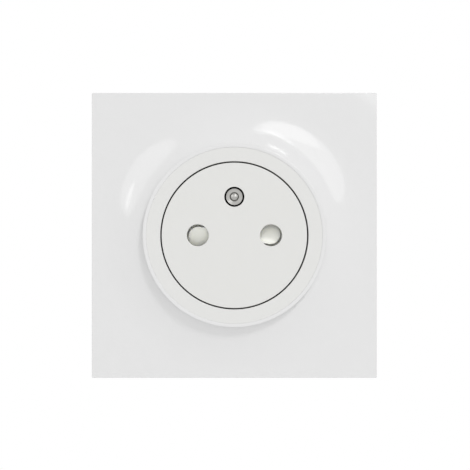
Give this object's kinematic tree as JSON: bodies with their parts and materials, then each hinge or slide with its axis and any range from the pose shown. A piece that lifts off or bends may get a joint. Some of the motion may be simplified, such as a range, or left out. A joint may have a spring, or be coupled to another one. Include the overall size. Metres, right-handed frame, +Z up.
{
  "type": "flush wall socket",
  "caption": "Square flush wall socket with a coved round centre, a fixed earth pin and a sprung front disc with shuttered pin holes that sinks into the well as a plug goes in.",
  "frame": {"origin": "centre of the socket on the wall plane, midway between the two round fixing holes", "axes": "+Z up the wall with the earth pin above the centre, +X to the right seen from the room, +Y into the wall, so the front faces -Y"},
  "size_m": [0.0746, 0.039, 0.0746],
  "materials": {
    "white_moulding": "glossy moulded thermoplastic",
    "ivory_moulding": "natural unpigmented moulding",
    "grey_moulding": "fine textured moulding",
    "zinc_plated_steel": "zinc plated pressed sheet",
    "spring_steel": "bright drawn",
    "nickel_plating": "nickel plated brass",
    "brass_strip": "pressed strip",
    "terminal_steel": "zinc plated"
  },
  "bodies": {
    "socket": {"cover_plate": "white_moulding", "front_well": "white_moulding", "rear_housing": "grey_moulding", "well_base": "grey_moulding", "mounting_frame": "zinc_plated_steel", "return_spring": "spring_steel", "earth_pin": "nickel_plating", "line_contact": "brass_strip", "neutral_contact": "brass_strip", "earth_strap": "brass_strip", "line_clamp": "terminal_steel", "neutral_clamp": "terminal_steel", "earth_clamp": "terminal_steel", "line_screw": "terminal_steel", "neutral_screw": "terminal_steel", "earth_screw": "terminal_steel"},
    "disc": {"floating_disc": "white_moulding", "shutter_retainer": "grey_moulding", "shutter_spring": "spring_steel"},
    "shutter_blades": {"shutter": "ivory_moulding"}
  },
  "joints": [
    {"name": "disc_slide", "type": "slide", "parent": "socket", "child": "disc", "axis": [0, 1, 0], "range_m": [0, 0.015], "stiffness_N_per_m": 500, "springref_m": -0.008, "deforming": ["return_spring"]},
    {"name": "shutter_turn", "type": "hinge", "parent": "disc", "child": "shutter_blades", "pos_m": [0, -0.007, 0], "axis": [0, 1, 0], "range_deg": [0, 40], "stiffness_Nm_per_rad": 0.004, "springref_deg": -17.19, "deforming": ["shutter_spring"]}
  ]
}
